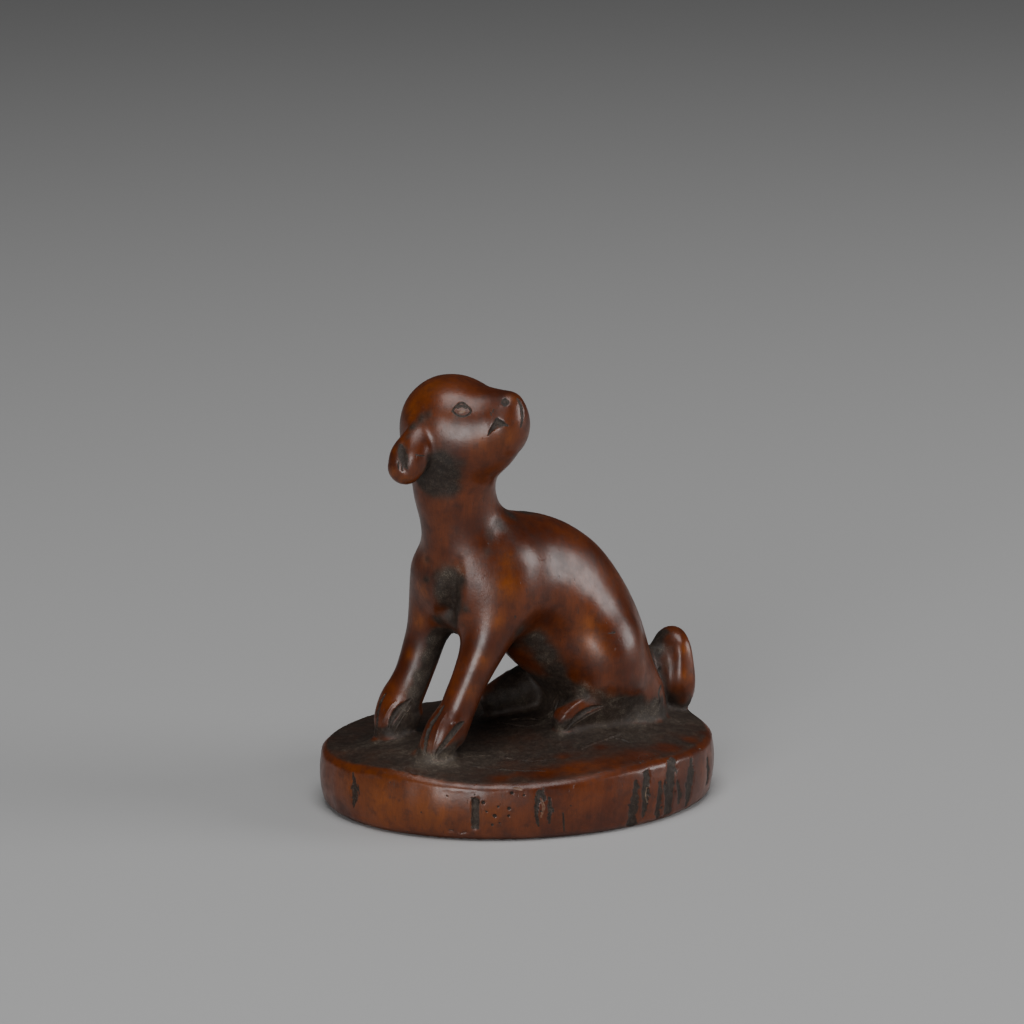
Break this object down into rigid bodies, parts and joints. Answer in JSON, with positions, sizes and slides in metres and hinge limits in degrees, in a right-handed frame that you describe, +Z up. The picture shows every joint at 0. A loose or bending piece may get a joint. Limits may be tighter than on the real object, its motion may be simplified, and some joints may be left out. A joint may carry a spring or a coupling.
{
  "type": "netsuke",
  "caption": "Carved wooden netsuke: a small lop-eared animal sitting on an oval plate, its head turned back over its left shoulder.",
  "frame": {"origin": "middle of the plate's flat underside", "axes": "+Z up, Y along the plate's long axis with the tail towards +Y and the forefeet towards -Y, +X on the animal's left, the side it looks to"},
  "size_m": [0.0326, 0.0406, 0.0445],
  "materials": {
    "wood": "dark red-brown stain, handled to a soft polish, dirt left in the hollows"
  },
  "bodies": {
    "root": {"netsuke": "wood"}
  },
  "joints": []
}
